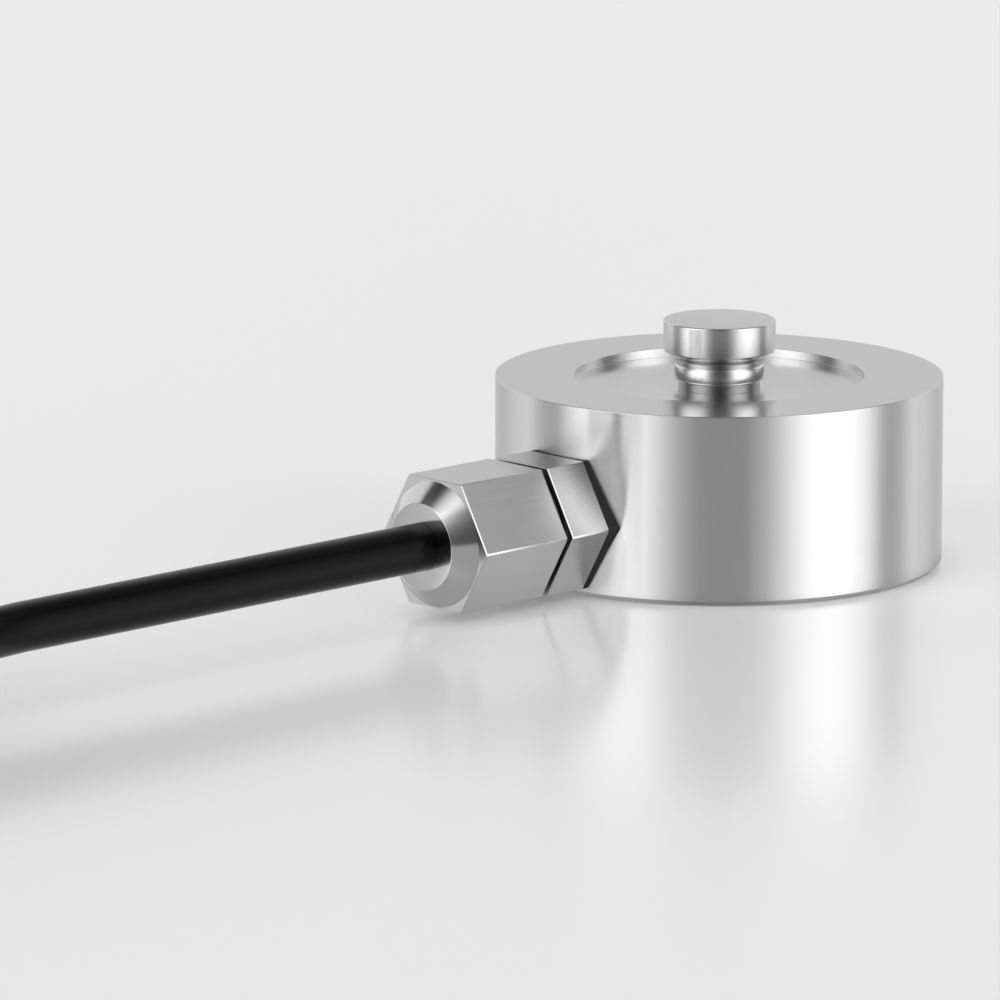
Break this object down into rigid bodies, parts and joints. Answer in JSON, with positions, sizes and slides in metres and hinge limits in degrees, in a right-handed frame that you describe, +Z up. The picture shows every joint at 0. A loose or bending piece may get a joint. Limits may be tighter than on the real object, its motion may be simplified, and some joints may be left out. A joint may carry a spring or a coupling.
{
  "type": "weighing load cell",
  "caption": "Round steel compression load cell with a raised load button in a shallow top recess and a side cable gland with a thin black cable.",
  "frame": {"origin": "centre of the body's base, on the surface it stands on", "axes": "+Z up along the load axis, towards the load button; -X out of the cable gland"},
  "size_m": [0.1605, 0.0572, 0.0192],
  "materials": {
    "body_steel": "satin turned stainless steel",
    "gland_steel": "bright nickel-plated hexagon bar",
    "cover_steel": "turned stainless disc, welded in",
    "black_rubber": "black sealing rubber",
    "jacket": "black cable jacket, slightly glossy",
    "tie": "black coil tie",
    "sleeve": "black shrink sleeve",
    "board": "green bridge board",
    "gauge": "amber film with a metal foil grid",
    "chip": "chip resistor",
    "bare_wire": "tinned copper wire",
    "insulation_red": "red core insulation",
    "insulation_black": "black core insulation",
    "insulation_green": "green core insulation",
    "insulation_white": "white core insulation"
  },
  "bodies": {
    "root": {"base_cover": "cover_steel", "cable_coil": "jacket", "cable_entry": "jacket", "cable_run": "jacket", "coil_tie_a": "tie", "coil_tie_b": "tie", "core_black": "insulation_black", "core_green": "insulation_green", "core_red": "insulation_red", "core_shield": "bare_wire", "core_white": "insulation_white", "gauge_leads_a": "bare_wire", "gauge_leads_b": "bare_wire", "gauge_leads_c": "bare_wire", "gauge_leads_d": "bare_wire", "gland_body": "gland_steel", "gland_gasket": "black_rubber", "gland_nut": "gland_steel", "gland_seal": "black_rubber", "gland_washer": "gland_steel", "lead_black": "insulation_black", "lead_green": "insulation_green", "lead_red": "insulation_red", "lead_shield": "bare_wire", "lead_white": "insulation_white", "nut_o_ring": "black_rubber", "sensing_body": "body_steel", "span_resistor_a": "chip", "span_resistor_b": "chip", "strain_gauge_a": "gauge", "strain_gauge_b": "gauge", "strain_gauge_c": "gauge", "strain_gauge_d": "gauge", "stripped_ends": "bare_wire", "tail_sleeve": "sleeve", "terminal_board": "board", "zero_resistor": "chip"}
  },
  "joints": []
}
